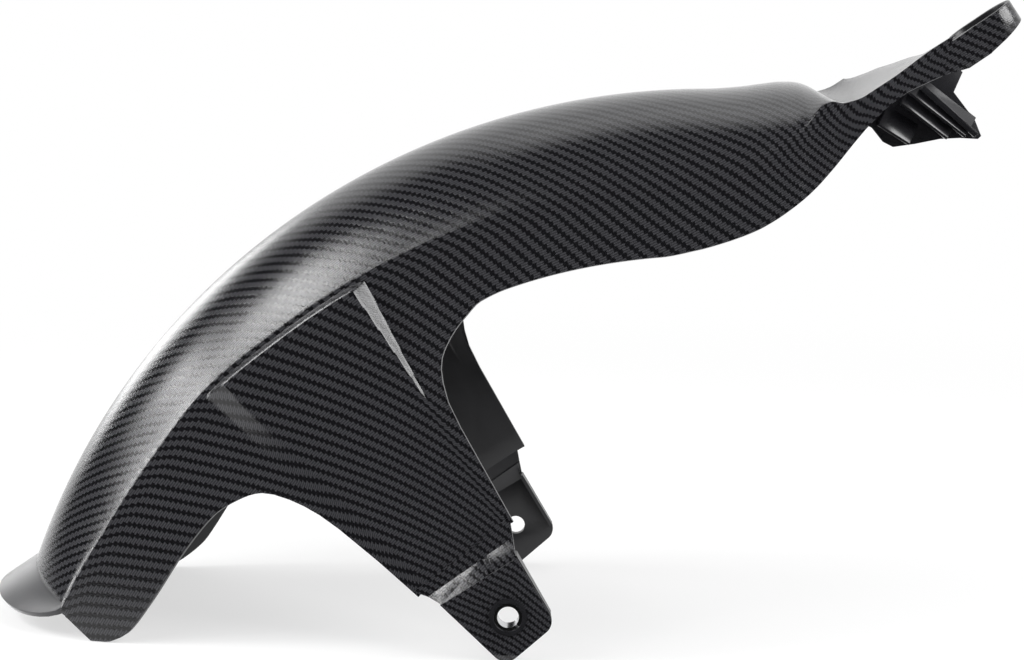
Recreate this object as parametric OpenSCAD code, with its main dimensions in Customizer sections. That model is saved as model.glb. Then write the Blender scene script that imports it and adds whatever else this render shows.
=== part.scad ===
// Motorcycle wheel fender: one injection-moulded shell, symmetric about its mid plane up to the
// carrier end, with a rolled steel sleeve pressed into the right-hand bolt tab.
// +X runs along the wheel towards the carrier end, +Y is the left-hand side, +Z is up.
// The fender stands on its two skirt flaps and its two bolt tabs.

/* [Arch] */
// radius of the crest line about the wheel axle
crest_r = 350; // [300:0.5:400]
// radius of the side ridge about the wheel axle
ridge_r = 311; // [280:0.5:380]
// half width of the crown between its side ridges
ridge_y = 64; // [40:1:90]
// radius of the skirt's lower edge about the wheel axle
skirt_r = 277.5; // [240:0.5:320]
// outward flare of the skirt, mm a mm of drop
skirt_flare = 0.215; // [0:0.005:0.5]
// wall of the moulding
wall = 3; // [2:0.1:4]
// angle of the crown's closed end about the axle
closed_end = 161.3; // [140:0.1:170]
// angle of the skirt flaps' end about the axle
flap_end = 163.4; // [140:0.1:170]
// angle where the right-hand arm ends about the axle
arm_end = 75.1; // [70:0.1:85]
// half width at the arm
arm_y = 60; // [40:0.5:80]

/* [End lip] */
// width of the lip at the mid plane
lip_w = 23; // [5:0.5:30]
// width of the lip where it runs out into the ridges
lip_side_w = 3; // [1:0.5:8]
// angle of the lip below level
lip_drop = 35; // [0:1:60]
// thickness of the lip
lip_t = 2.6; // [1.5:0.1:4]
// step from the crown's edge down to the lip's upper face
lip_step = 0.3; // [0.1:0.05:1]

/* [Legs] */
// angle of the leg's front edge about the axle
leg_front = 121.2; // [110:0.1:130]
// angle of the leg's rear edge about the axle
leg_rear = 139.5; // [130:0.1:150]
// radius where the leg's flat panel ends
leg_foot_r = 180; // [150:1:220]
// radius of the ledge along the panel's upper edge
panel_top_r = 308.5; // [290:0.5:330]
// half width across the panels at that ledge
panel_top_y = 72; // [60:0.5:90]
// outward slope of the panel, mm a mm of drop
panel_slope = 0.1; // [0:0.005:0.3]
// extra depth of the left-hand skirt behind the leg
left_flap_drop = 5; // [0:0.5:10]
// forward lean of the left-hand leg's front edge, degrees about the axle
left_leg_lean = 0.9; // [0:0.1:2]

/* [Bolt tabs] */
// half width across the outer faces of the tabs
tab_y = 91; // [70:0.5:110]
// thickness of a tab
tab_t = 3.5; // [2:0.1:6]
// height of the bolt axis over the floor
bolt_z = 20.2; // [10:0.1:40]
// bore of the sleeve in the right-hand tab
sleeve_bore = 10; // [6:0.1:14]
// outside diameter of the sleeve
sleeve_od = 13; // [8:0.1:18]
// length of the sleeve
sleeve_len = 9; // [4:0.5:16]
// gap of the sleeve's rolled seam
sleeve_gap = 1.2; // [0.4:0.1:3]
// diameter of the raised collar on a tab
collar_d = 17.6; // [12:0.1:24]
// height of the raised collar on a tab
collar_h = 1.2; // [0.4:0.1:3]
// bore of the left-hand tab
plain_bore = 9.7; // [6:0.1:14]

/* [Loop] */
// outside length of the cable loop
loop_len = 33; // [24:0.5:50]
// outside width of the cable loop
loop_w = 24; // [14:0.5:40]
// height of the cable loop
loop_h = 14.7; // [8:0.1:24]
// wall of the cable loop
loop_wall = 2.5; // [1.5:0.1:4]

/* [Hidden] */

// the wheel axle, before the fender is stood on its feet
axle_x = 106.3;
axle_z = -90.3;
// the turn and the shift that stand the feet on the floor, with the overall box centred
stand_turn = 0.67;
stand_shift = [-1.6, 0, 1.18];
// where the flared skirt and the leg panel run into one surface
merge_r = 248;
// how far the lip reaches back into the crown's wall
lip_root = 2.5;
panel_foot_y = panel_top_y + panel_slope * (panel_top_r - leg_foot_r);
loop_x = 206.5;
loop_z = 285.8;
loop_rise = 35.5;
loop_taper = 12.5;
loop_taper_from = 14;
// the corners of the arm's end that the loop's web starts from, in the loop's own frame
arm_tip = [[-13, -loop_w / 2 - 3.4, -10.2], [-3, -loop_w / 2 - 1, -1]];
wing_y = 57;
rib_depth = 9;
rib_face = 8;
wing_ribs = [[[191, 242], [207, 232.4]], [[201.8, 253], [226, 235.6]], [[206, 258], [235, 236.8]]];
wing_flange = [[211, 259.5], [239.4, 236]];
flange_depth = 9;
crown_steps = 9;
skirt_steps = 3;
shell_colour = [0.13, 0.13, 0.14];
steel_colour = [0.72, 0.73, 0.74];

// heights of the lower edge over the axle, by angle: the arm, the rear sweep, the skirt,
// the leg between its two fillets, the skirt again and the rounded flap
low_edge = [
    [75.1, 373], [76, 368], [77, 362.5], [78, 355], [79.2, 344], [80.1, 334.5], [81.2, 323],
    [82.5, 312], [83.9, 303], [85.4, 295.8], [87, 290], [88.8, 285.6], [90.4, 282.7],
    [92.4, 280], [96, skirt_r], [111, skirt_r + 0.5], [113.6, 277], [115.5, 273.2], [117, 269.6],
    [118.4, 265.2], [119.4, 261], [120, 256.8], [120.5, 251], [121, 242],
    [leg_front, 229], [leg_front + 0.15, leg_foot_r],
    [leg_rear - 0.1, leg_foot_r], [leg_rear, 204], [139.8, 228], [140.1, 239], [141, 254],
    [142.4, 265.7], [144.3, 272], [147.3, 277.7], [151.6, 280.5], [156.2, 282.8], [158.8, 285.2],
    [161.2, 288.8], [162.8, 296], [163.4, 305]
];
// the ridge between crown and skirt, which climbs into the arm's upper edge
ridge_line = [
    [75.1, 392], [76.4, 382], [77.3, 374.5], [78.2, 367.5], [79.2, 361], [80.2, 355],
    [81.4, 351.2], [82.2, 351], [83, 348.5], [83.5, 343.5], [84.1, 337.5], [84.8, 333],
    [85.5, 329.5], [88, 320], [92, 313.5], [97, ridge_r], [115, ridge_r], [131, 313.5], [139, 316.5],
    [147, 316.5], [155, 319], [163.4, 323.5]
];
// the crest, with its hump and the valley of the carrier end
crest_line = [
    [75.1, 388.5], [76.5, 378.5], [77.5, 370], [78.5, 361.5], [79.5, 354], [80.5, 350],
    [81.5, 350], [82.5, 353.2], [83.7, 355.7], [85.3, 355.2], [86.8, 353.3], [88.4, 351.4],
    [91, crest_r], [163, crest_r]
];
// where the carrier end stops, by Y from the right-hand side to the left-hand one
top_end = [[-61, 75.1], [-58, 75.6], [-48, 76.4], [-22, 76.6], [2, 77.1], [26, 77.6], [43, 78.3], [62, 79.4]];

// stations along the arch, closer where its edges turn
stations = concat(
    [163.4, 163, 162.3, 161.2, 160, 158.8, 156.5, 154, 151.6, 149.4, 147.3, 145.6, 144.3, 143.2, 142.4,
     141.6, 141, 140.5, 140.1, 139.8],
    [leg_rear, leg_rear - 0.1, 138.4, 137.2],
    [for (a = [134.5 : -2.75 : 125]) a],
    [123.4, 122.3, leg_front + 0.15, leg_front],
    [121, 120.75, 120.5, 120, 119.4, 118.4, 117, 115.5, 113.6],
    [for (a = [111 : -3 : 96]) a],
    [94, 92.4, 90.4, 88.8, 87, 86.2, 85.4, 84.8, 84.1, 83.5, 83, 82.5, 81.8, 81.2, 80.6, 80.1, 79.2,
     78.5, 77.8, 77, 76.3, 75.6, 75.1]
);

function mix(a, b, t) = a + (b - a) * t;
function clamp01(t) = min(1, max(0, t));
function ease(t) = let (u = clamp01(t)) u * u * (3 - 2 * u);
function span(t, k, i = 0) = i >= len(k) - 2 || t <= k[i + 1][0] ? i : span(t, k, i + 1);
function grade(k, i) =
    let (a = max(i - 1, 0), b = min(i + 1, len(k) - 1)) (k[b][1] - k[a][1]) / (k[b][0] - k[a][0]);

// a smooth curve through a list of [angle, value] pairs
function along(t, k) =
    let (i = span(t, k), w = k[i + 1][0] - k[i][0], last = k[len(k) - 1][0])
    let (u = (min(max(t, k[0][0]), last) - k[i][0]) / w)
    let (rise = k[i + 1][1] - k[i][1], g0 = grade(k, i) * w, g1 = grade(k, i + 1) * w)
    k[i][1] + g0 * u + (3 * rise - 2 * g0 - g1) * u * u + (g0 + g1 - 2 * rise) * u * u * u;

// how square the crown meets the ridge: a crease towards the closed end, round towards the other
function crown_cos(a) = mix(0.29, 0.85, ease((a - 104) / 36));
// half width at the ridge, which narrows along the arm
function ridge_half(a) = mix(arm_y, ridge_y, ease((a - 78) / 8));
// how far the leg's raised panel replaces the skirt, with a steep front ramp and a soft rear one
function raised(a) = clamp01((a - 122.3) / 1.1) * clamp01((139.4 - a) / 2.2);

function panel_y(r) = panel_top_y + panel_slope * (panel_top_r - r);
function skirt_y(r, rr, ry) = min(ry + skirt_flare * (rr - r), panel_y(r));

// half of a section: crown from the crest to the ridge, ledge, then skirt or leg panel, as [y, r]
function half_section(a, drop = 0) =
    let (rc = along(a, crest_line), rr = along(a, ridge_line), ry = ridge_half(a))
    let (low = min(lookup(a, low_edge), rr - 8) - drop, w = raised(a), c = crown_cos(a), top = acos(c))
    let (l1 = rr - 2, l2 = rr - 3)
    concat(
        [for (i = [0 : crown_steps]) let (t = top * i / crown_steps)
            [ry * sin(t) / sin(top), rr + (rc - rr) * (cos(t) - c) / (1 - c)]],
        [[skirt_y(l1, rr, ry), l1]],
        [for (r = [l2, max(skirt_r + 1, mix(l2, low, 0.34)), max(merge_r, mix(l2, low, 0.67)), low])
            [mix(skirt_y(r, rr, ry), panel_y(r), w), r]]
    );

// the whole section, from the left-hand lower edge over the crest to the right-hand one
function section(a) =
    let (h = half_section(a), n = len(h))
    let (l = half_section(a, left_flap_drop * ease((a - 143) / 9) * ease((163 - a) / 5)))
    concat([for (i = [n - 1 : -1 : 1]) l[i]], [for (p = h) [-p[0], p[1]]]);

function unit(v) = v / norm(v);
// the point behind section point i on the inner face, one wall along the section's normal
function inner(s, i) =
    let (t = unit(s[min(i + 1, len(s) - 1)] - s[max(i - 1, 0)])) s[i] - wall * [t[1], -t[0]];

// how far point i of a station leans along the arch: the crown stops short of the flaps at the
// closed end, the carrier end is cut askew, and the left-hand leg stands a little forward
function lean(a, y, i, n) =
    let (side = min(i, n - 1 - i), skirt_n = skirt_steps + 2)
    let (closed = side >= skirt_n ? closed_end : mix(flap_end, closed_end + 0.6, side / skirt_n))
    let (open = i > n - 1 - skirt_n ? arm_end : lookup(y, top_end))
    let (forward = i < skirt_n ? left_leg_lean * ease((a - 112) / 6) * ease((128 - a) / 6) : 0)
    (closed - flap_end) * ease((a - 152) / (flap_end - 152))
        + (open - arm_end) * ease((89 - a) / (89 - arm_end)) - forward;

function place(p, a) = [axle_x + p[1] * cos(a), p[0], axle_z + p[1] * sin(a)];

function ring(a) =
    let (n = 2 * len(half_section(a)) - 1, plain = section(a))
    let (angles = [for (i = [0 : n - 1]) a + lean(a, plain[i][0], i, n)])
    let (s = [for (i = [0 : n - 1]) a > 100 ? plain : section(angles[i])])
    concat(
        [for (i = [0 : n - 1]) place(s[i][i], angles[i])],
        [for (i = [n - 1 : -1 : 0]) place(inner(s[i], i), angles[i])]
    );

// skins closed rings of the same length, and caps the two ends with strips of quads
module skin(rings) {
    n = len(rings[0]);
    half = n / 2;
    last = (len(rings) - 1) * n;
    polyhedron(
        points = [for (r = rings) each r],
        faces = concat(
            [for (k = [0 : len(rings) - 2], i = [0 : n - 1]) let (j = (i + 1) % n, a = k * n, b = a + n)
                each [[a + i, b + i, b + j], [a + i, b + j, a + j]]],
            [for (i = [0 : half - 2])
                each [[i, i + 1, n - 2 - i], [i, n - 2 - i, n - 1 - i]]],
            [for (i = [0 : half - 2]) let (a = last + i, b = last + n - 2 - i)
                each [[a, b, a + 1], [a, b + 1, b]]]
        ),
        convexity = 8
    );
}

module arch_and_legs() {
    skin([for (a = stations) ring(a)]);
}

// the flat lip that turns out from the crown's closed end
module end_lip() {
    h = half_section(closed_end);
    crown = concat(
        [for (i = [crown_steps : -1 : 1]) h[i]],
        [for (i = [0 : crown_steps]) [-h[i][0], h[i][1]]]
    );
    out = [-cos(lip_drop), 0, -sin(lip_drop)];
    down = [sin(lip_drop), 0, -cos(lip_drop)];
    skin([for (p = crown)
        let (top = place(p, closed_end) + lip_step * down, under = top + lip_t * down)
        let (w = mix(lip_side_w, lip_w, pow(clamp01(1 - pow(p[0] / ridge_y, 4)), 0.6)))
        [top + w * out, under + w * out, under - lip_root * out, top - lip_root * out]]);
}

module tab_outline() {
    corners = [[14.6, 48], [33.4, 17.2], [10.5, -3.6], [-20, 24.8]];
    offset(r = 7) offset(r = -7) polygon(corners);
    polygon([[14.6, 48], [26, 29.4], [-5, 10.8], [-20, 24.8]]);
}

// one leg's foot: the ramp below the panel, the tab and its collar, for the right-hand side
module tab() {
    hull() {
        for (a = [leg_front + 0.3, leg_rear - 0.3])
            translate(place([-panel_foot_y + wall / 2 + 0.05, leg_foot_r + 3], a))
                cube([0.2, wall - 0.1, 0.2], center = true);
        for (p = [[14.4, 46.5], [-19.2, 25.2]])
            translate([p[0], -tab_y + tab_t / 2, p[1]]) cube([0.2, tab_t - 0.1, 0.2], center = true);
    }
    translate([0, -tab_y + tab_t, 0])
        rotate([90, 0, 0])
            linear_extrude(tab_t)
                tab_outline();
    translate([bolt_x(), -tab_y - collar_h, bolt_z])
        rotate([-90, 0, 0])
            cylinder(d = collar_d, h = collar_h + 1, $fn = 64);
    stiffener();
}

function bolt_x() = axle_x - 95;

// the rib along the inside of the tab's front edge
module stiffener() {
    hull() {
        translate([13.2, -tab_y + 1, 48]) cube([1.4, 9, 1], center = false);
        translate([29.5, -tab_y + 1, 21]) cube([1.4, 6, 1], center = false);
    }
}

module boss() {
    translate([bolt_x(), -tab_y + 0.5, bolt_z])
        rotate([-90, 0, 0])
            cylinder(d = collar_d, h = sleeve_len - collar_h - 1.3, $fn = 64);
}

module bore(d) {
    translate([bolt_x(), -tab_y - 8, bolt_z])
        rotate([-90, 0, 0])
            cylinder(d = d, h = 24, $fn = 64);
}

// an upright oval, round at both ends
module oval(len, w) {
    for (x = [w / 2, len - w / 2])
        translate([x, 0]) circle(d = w, $fn = 64);
    translate([w / 2, -w / 2]) square([len - w, w]);
}

// the web between the arm's end and the loop's near wall
module loop_web() {
    hull() {
        for (p = arm_tip)
            translate(p) cube([1, loop_wall, 0.8]);
        translate([0, -loop_w / 2, -loop_h]) cube([loop_w / 2, loop_wall, loop_h]);
    }
}

// the cable loop at the tip of the right-hand arm, its underside cut to a taper
module loop() {
    translate([loop_x, -arm_y + loop_w / 2, loop_z])
        rotate([0, -loop_rise, 0])
            difference() {
                union() {
                    translate([0, 0, -loop_h])
                        linear_extrude(loop_h)
                            difference() {
                                oval(loop_len, loop_w);
                                translate([loop_wall, 0])
                                    oval(loop_len - 2 * loop_wall, loop_w - 2 * loop_wall);
                            }
                    loop_web();
                }
                translate([loop_taper_from, 0, -loop_h])
                    rotate([0, -loop_taper, 0])
                        translate([0, -loop_w, -loop_h]) cube([loop_len + 10, 2 * loop_w, loop_h]);
            }
}

// the ribbed bracket wing at the left-hand side of the carrier end
module wing() {
    translate([0, wing_y + wall, 0])
        rotate([90, 0, 0])
            linear_extrude(wall)
                polygon([
                    [160, 238], [174, 246], [188.8, 239.3], [194.7, 232.3], [199.9, 229.8], [211, 231.6],
                    [223.5, 234.4], [233.6, 235.1], [242.8, 234.8], [244.4, 236.4], [240.8, 244.4],
                    [229.4, 258.3], [233.4, 268.5], [226.5, 274], [216, 271], [201.8, 264], [187, 254],
                    [172, 256], [160, 256]
                ]);
    for (line = wing_ribs)
        louvre(line[0], line[1]);
    flange();
}

// one slanted rib on the wing's inner face, from p to q as [x, z]
module louvre(p, q) {
    run = q - p;
    translate([p[0], wing_y + 0.5, p[1]])
        rotate([0, -atan2(run[1], run[0]), 0])
            rotate([90, 0, 90])
                linear_extrude(norm(run))
                    polygon([[0, -1.2], [-rib_depth, -1.2], [-rib_depth, 0], [0, rib_face]]);
}

// the wing's front flange
module flange() {
    run = wing_flange[1] - wing_flange[0];
    translate([wing_flange[0][0], wing_y + 0.5, wing_flange[0][1]])
        rotate([0, -atan2(run[1], run[0]), 0])
            translate([0, -flange_depth, 0]) cube([norm(run), flange_depth, wall]);
}

// the moulding without its bores, at its own size: the resize only joins its surfaces into one mesh
module moulding() {
    resize([0, 0, 0]) {
        arch_and_legs();
        end_lip();
        tab();
        boss();
        mirror([0, 1, 0]) tab();
        loop();
        wing();
    }
}

module fender_shell() {
    color(shell_colour)
        difference() {
            moulding();
            bore(sleeve_od);
            mirror([0, 1, 0]) bore(plain_bore);
        }
}

module tab_sleeve() {
    color(steel_colour)
        translate([bolt_x(), -tab_y - collar_h + 0.8, bolt_z])
            rotate([-90, 0, 0])
                difference() {
                    cylinder(d = sleeve_od, h = sleeve_len, $fn = 64);
                    translate([0, 0, -1]) cylinder(d = sleeve_bore, h = sleeve_len + 2, $fn = 64);
                    rotate([0, 0, 45])
                        translate([0, -sleeve_gap / 2, -1]) cube([sleeve_od, sleeve_gap, sleeve_len + 2]);
                }
}

module standing() {
    translate(stand_shift) rotate([0, stand_turn, 0]) children();
}

standing() fender_shell();
standing() tab_sleeve();
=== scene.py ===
"""Looks for a moulded wheel fender: twill print under clear coat outside, bare satin black inside."""

import math

import bmesh
import bpy
import numpy as np
from mathutils import Matrix, Vector

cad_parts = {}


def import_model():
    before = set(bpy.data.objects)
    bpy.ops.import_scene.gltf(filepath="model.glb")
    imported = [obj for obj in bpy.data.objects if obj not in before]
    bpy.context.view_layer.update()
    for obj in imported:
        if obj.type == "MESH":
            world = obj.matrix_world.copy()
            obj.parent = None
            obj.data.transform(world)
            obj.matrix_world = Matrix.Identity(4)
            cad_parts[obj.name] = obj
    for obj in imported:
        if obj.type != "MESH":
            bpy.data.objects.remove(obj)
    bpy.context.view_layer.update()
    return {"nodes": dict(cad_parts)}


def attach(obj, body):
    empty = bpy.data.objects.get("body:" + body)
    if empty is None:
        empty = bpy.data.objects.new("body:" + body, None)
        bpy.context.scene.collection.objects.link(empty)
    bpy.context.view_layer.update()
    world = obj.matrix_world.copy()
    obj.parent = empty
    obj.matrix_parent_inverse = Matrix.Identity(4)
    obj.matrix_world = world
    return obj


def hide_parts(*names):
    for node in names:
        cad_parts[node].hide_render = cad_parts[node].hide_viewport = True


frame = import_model()

MM = 0.001

# Driving sizes of the moulding, in millimetres and degrees about the wheel axle, as in the CAD source
AXLE_X, AXLE_Z = 106.3, -90.3
STAND_TURN = 0.67
STAND_SHIFT = (-1.6, 0.0, 1.18)
RIDGE_Y, ARM_Y = 64.0, 60.0
SKIRT_R, SKIRT_FLARE = 277.5, 0.215
MERGE_R = 248.0
WALL = 3.0
CLOSED_END, FLAP_END, ARM_END = 161.3, 163.4, 75.1
LEG_FRONT, LEG_REAR, LEG_FOOT_R = 121.2, 139.5, 180.0
PANEL_TOP_R, PANEL_TOP_Y, PANEL_SLOPE = 308.5, 72.0, 0.1
TAB_Y, TAB_T = 91.0, 3.5
BOLT_X, BOLT_Z = AXLE_X - 95.0, 20.2
SLEEVE_OD, SLEEVE_LEN, PLAIN_BORE = 13.0, 9.0, 9.7

# The lower edge by angle: arm, rear sweep, skirt, leg between its fillets, skirt and rounded flap
LOW_EDGE = [
    (75.1, 373), (76, 368), (77, 362.5), (78, 355), (79.2, 344), (80.1, 334.5), (81.2, 323),
    (82.5, 312), (83.9, 303), (85.4, 295.8), (87, 290), (88.8, 285.6), (90.4, 282.7),
    (92.4, 280), (96, 277.5), (111, 278), (113.6, 277), (115.5, 273.2), (117, 269.6),
    (118.4, 265.2), (119.4, 261), (120, 256.8), (120.5, 251), (121, 242),
    (121.2, 229), (121.35, 180), (139.4, 180), (139.5, 204), (139.8, 228), (140.1, 239), (141, 254),
    (142.4, 265.7), (144.3, 272), (147.3, 277.7), (151.6, 280.5), (156.2, 282.8), (158.8, 285.2),
    (161.2, 288.8), (162.8, 296), (163.4, 305),
]
RIDGE_LINE = [
    (75.1, 392), (76.4, 382), (77.3, 374.5), (78.2, 367.5), (79.2, 361), (80.2, 355),
    (81.4, 351.2), (82.2, 351), (83, 348.5), (83.5, 343.5), (84.1, 337.5), (84.8, 333),
    (85.5, 329.5), (88, 320), (92, 313.5), (97, 311), (115, 311), (131, 313.5), (139, 316.5),
    (147, 316.5), (155, 319), (163.4, 323.5),
]
CREST_LINE = [
    (75.1, 388.5), (76.5, 378.5), (77.5, 370), (78.5, 361.5), (79.5, 354), (80.5, 350),
    (81.5, 350), (82.5, 353.2), (83.7, 355.7), (85.3, 355.2), (86.8, 353.3), (88.4, 351.4),
    (91, 350), (163, 350),
]
# Where the carrier end stops, by Y from the right-hand side to the left-hand one
TOP_END = [
    (-61, 75.1), (-58, 75.6), (-48, 76.4), (-22, 76.6), (2, 77.1), (26, 77.6), (43, 78.3), (62, 79.4),
]

# How the section changes along the arch. A pair is the angle at which a change starts and its width
ARM_WIDENS = (78, 8)
CROWN_TURNS = (104, 36)
CROWN_COS_ARM, CROWN_COS_CLOSED = 0.29, 0.85
LEAST_SKIRT = 8.0
UNDER_CREASE = 2.0
LEDGE_BELOW, LEDGE_ROUND = 3.0, 1.8
CREASE_ROUND = 0.9
KNEE_SHARE, MERGE_SHARE = 0.34, 0.67

# The leg's raised panel: the middle of its front facet, its rear edge, and how wide both facets are
PANEL_FRONT, PANEL_REAR = 122.85, 139.4
FRONT_FACET, FRONT_FACET_LEAST, REAR_FACET = 1.1, 0.16, 2.2
FACET_TAPER_R, FACET_TAPER = MERGE_R - 4, 60.0

# The left-hand side's differences: how much, and the angles between which it eases in and out
LEFT_FLAP_DROP, LEFT_FLAP_SPAN = 5.0, (143, 9, 163, 5)
LEFT_LEG_LEAN, LEFT_LEG_SPAN = 0.9, (112, 6, 128, 6)

# The ends lean from these angles on. Below the last one a leaned point takes its own angle's section,
# because the arch changes quickly there
CLOSED_LEANS_FROM, ARM_LEANS_FROM = 152, 89
FLAP_CORNER = 0.6
OWN_SECTION_BELOW = 100

# The film's lie: how far its bands turn inwards from the arch's own direction, by angle, on the
# sides and on the crown, over which the film was stretched
FILM_R = 300.0
FILM_TURN = [
    (75.1, 5), (82, 17), (88, 28), (100, 46), (108, 55), (118, 58), (130, 58), (142, 62), (155, 69),
    (163.4, 73),
]
FILM_CROWN_TURN = [(75.1, 5), (82, 17), (88, 28), (100, 40), (110, 46), (163.4, 49)]
FILM_CREST_BEND = 9.0
FILM_ARM_FINE, FILM_SHRINKS = 1.4, (80, 9)
FILM_ANGLES = np.linspace(70, 170, 1001)

# How finely the moulding is meshed
CROWN_STEPS = 22
CREASE_ROWS = 4
LEDGE_ROWS = 3
SKIRT_ROWS = 7
SKIRT_POINTS = 3 * SKIRT_ROWS + LEDGE_ROWS + CREASE_ROWS + 2
FACET_STATIONS = 10
STATION_STEP = 0.6
ARC_STEPS = 8
CIRCLE_STEPS = 64
OVAL_STEPS = 40
SMOOTH_ANGLE = math.radians(32)
WELD = 0.001

# Radii that the mould leaves on sharp edges
EDGE_ROUND, PLATE_ROUND, STEP_ROUND, RIB_ROUND = 0.5, 0.35, 0.4, 0.25


# Curves by angle

def clamp01(t):
    return min(1.0, max(0.0, t))


def mix(a, b, t):
    return a + (b - a) * t


def ease(t):
    u = clamp01(t)
    return u * u * (3 - 2 * u)


def ease_from(a, span):
    """0 up to the span's first angle, 1 once its width is passed."""
    start, width = span
    return ease((a - start) / width)


def within(a, span):
    """1 in the middle of the span, eased to 0 at both ends."""
    start, rise, stop, fall = span
    return ease((a - start) / rise) * ease((stop - a) / fall)


def key_before(t, keys):
    i = 0
    while i < len(keys) - 2 and t > keys[i + 1][0]:
        i += 1
    return i


def linear_at(t, keys):
    """Straight lines between the keys, held past the ends."""
    i = key_before(t, keys)
    (t0, v0), (t1, v1) = keys[i], keys[i + 1]
    return mix(v0, v1, clamp01((t - t0) / (t1 - t0)))


def hermite(t, keys, grade):
    """A smooth curve through the keys, with the grade at each from the function given."""
    i = key_before(t, keys)
    (t0, v0), (t1, v1) = keys[i], keys[i + 1]
    w = t1 - t0
    u = clamp01((t - t0) / w)
    g0, g1, rise = grade(keys, i) * w, grade(keys, i + 1) * w, v1 - v0
    return v0 + g0 * u + (3 * rise - 2 * g0 - g1) * u * u + (g0 + g1 - 2 * rise) * u ** 3


def central_grade(keys, i):
    a, b = max(i - 1, 0), min(i + 1, len(keys) - 1)
    return (keys[b][1] - keys[a][1]) / (keys[b][0] - keys[a][0])


def held_grade(keys, i):
    """A grade that never overshoots, for an edge with sharp corners."""
    if i in (0, len(keys) - 1):
        return central_grade(keys, i)
    before = (keys[i][1] - keys[i - 1][1]) / (keys[i][0] - keys[i - 1][0])
    after = (keys[i + 1][1] - keys[i][1]) / (keys[i + 1][0] - keys[i][0])
    return 0.0 if before * after <= 0 else 2 * before * after / (before + after)


def smooth_at(t, keys):
    return hermite(t, keys, central_grade)


def edge_at(t, keys):
    return hermite(t, keys, held_grade)


# The moulding's section

def panel_y(r):
    return PANEL_TOP_Y + PANEL_SLOPE * (PANEL_TOP_R - r)


def skirt_y(r, rr, ry):
    return min(ry + SKIRT_FLARE * (rr - r), panel_y(r))


def raised(a, r):
    """How far the leg's raised panel replaces the skirt: its front facet narrows as it runs down."""
    width = max(FRONT_FACET_LEAST, FRONT_FACET * clamp01((r - FACET_TAPER_R) / FACET_TAPER))
    front = clamp01((a - PANEL_FRONT) / width + 0.5)
    rear = clamp01((PANEL_REAR - a) / REAR_FACET)
    return front * rear


def crown_cos(a):
    """How square the crown meets the ridge: a crease at the closed end, round towards the hump."""
    return mix(CROWN_COS_ARM, CROWN_COS_CLOSED, ease_from(a, CROWN_TURNS))


def between(a, b, n):
    return [mix(a, b, k / n) for k in range(1, n + 1)]


def rounded_crease(before, corner, after):
    """The crease's small round: points from the crown's side of the corner to the skirt's side."""
    corner = Vector(corner)
    start = corner + (Vector(before) - corner).normalized() * CREASE_ROUND
    end = corner + (Vector(after) - corner).normalized() * CREASE_ROUND
    points = []
    for k in range(CREASE_ROWS + 1):
        u = k / CREASE_ROWS
        points.append(tuple(start.lerp(corner, u).lerp(corner.lerp(end, u), u)))
    return points


def crown_points(rc, rr, ry, c):
    """Crest to ridge, a part of an ellipse that ends at the slope whose cosine is given."""
    top = math.acos(c)
    points = []
    for t in np.linspace(0, top, CROWN_STEPS + 1):
        y = ry * math.sin(t) / math.sin(top)
        r = rr + (rc - rr) * (math.cos(t) - c) / (1 - c)
        points.append((y, r))
    return points


def half_section(a, drop=0.0):
    """Crest to lower edge as [y, r] points: crown, crease, ledge, then skirt or leg panel."""
    rc, rr = smooth_at(a, CREST_LINE), smooth_at(a, RIDGE_LINE)
    ry = mix(ARM_Y, RIDGE_Y, ease_from(a, ARM_WIDENS))
    low = min(edge_at(a, LOW_EDGE), rr - LEAST_SKIRT) - drop
    points = crown_points(rc, rr, ry, crown_cos(a))
    under = (skirt_y(rr - UNDER_CREASE, rr, ry), rr - UNDER_CREASE)
    points[-1:] = rounded_crease(points[-2], points[-1], under)
    points.append(under)
    ledge = rr - LEDGE_BELOW - LEDGE_ROUND
    for k in range(LEDGE_ROWS):
        t = math.radians(90 * (1 - k / LEDGE_ROWS))
        y, r = panel_y(ledge) - LEDGE_ROUND * (1 - math.cos(t)), ledge + LEDGE_ROUND * math.sin(t)
        points.append((mix(skirt_y(r, rr, ry), y, raised(a, r)), r))
    knee = max(SKIRT_R + 1, mix(ledge, low, KNEE_SHARE))
    merge = max(MERGE_R, mix(ledge, low, MERGE_SHARE))
    rows = [ledge] + between(ledge, knee, SKIRT_ROWS) + between(knee, merge, SKIRT_ROWS)
    rows += between(merge, low, SKIRT_ROWS)
    for r in rows:
        points.append((mix(skirt_y(r, rr, ry), panel_y(r), raised(a, r)), r))
    return points


def section(a):
    """The whole section, from the left-hand lower edge over the crest to the right-hand one."""
    right = half_section(a)
    left = half_section(a, LEFT_FLAP_DROP * within(a, LEFT_FLAP_SPAN))
    return np.array(left[:0:-1] + [(-y, r) for y, r in right])


def lean(a, y, i, n):
    """How far point i of a station leans along the arch, in degrees."""
    side = min(i, n - 1 - i)
    is_left, is_right = i < SKIRT_POINTS, i > n - 1 - SKIRT_POINTS
    flap = mix(FLAP_END, CLOSED_END + FLAP_CORNER, side / SKIRT_POINTS)
    closed = CLOSED_END if side >= SKIRT_POINTS else flap
    opened = ARM_END if is_right else linear_at(y, TOP_END)
    at_closed = ease((a - CLOSED_LEANS_FROM) / (FLAP_END - CLOSED_LEANS_FROM))
    at_arm = ease((ARM_LEANS_FROM - a) / (ARM_LEANS_FROM - ARM_END))
    forward = LEFT_LEG_LEAN * within(a, LEFT_LEG_SPAN) if is_left else 0.0
    return (closed - FLAP_END) * at_closed + (opened - ARM_END) * at_arm - forward


def inner_points(s):
    """The section's inner face, one wall along its normal."""
    ahead = np.vstack([s[1:], s[-1:]])
    behind = np.vstack([s[:1], s[:-1]])
    along = ahead - behind
    along /= np.linalg.norm(along, axis=1)[:, None]
    return s - WALL * np.stack([along[:, 1], -along[:, 0]], axis=1)


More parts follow.
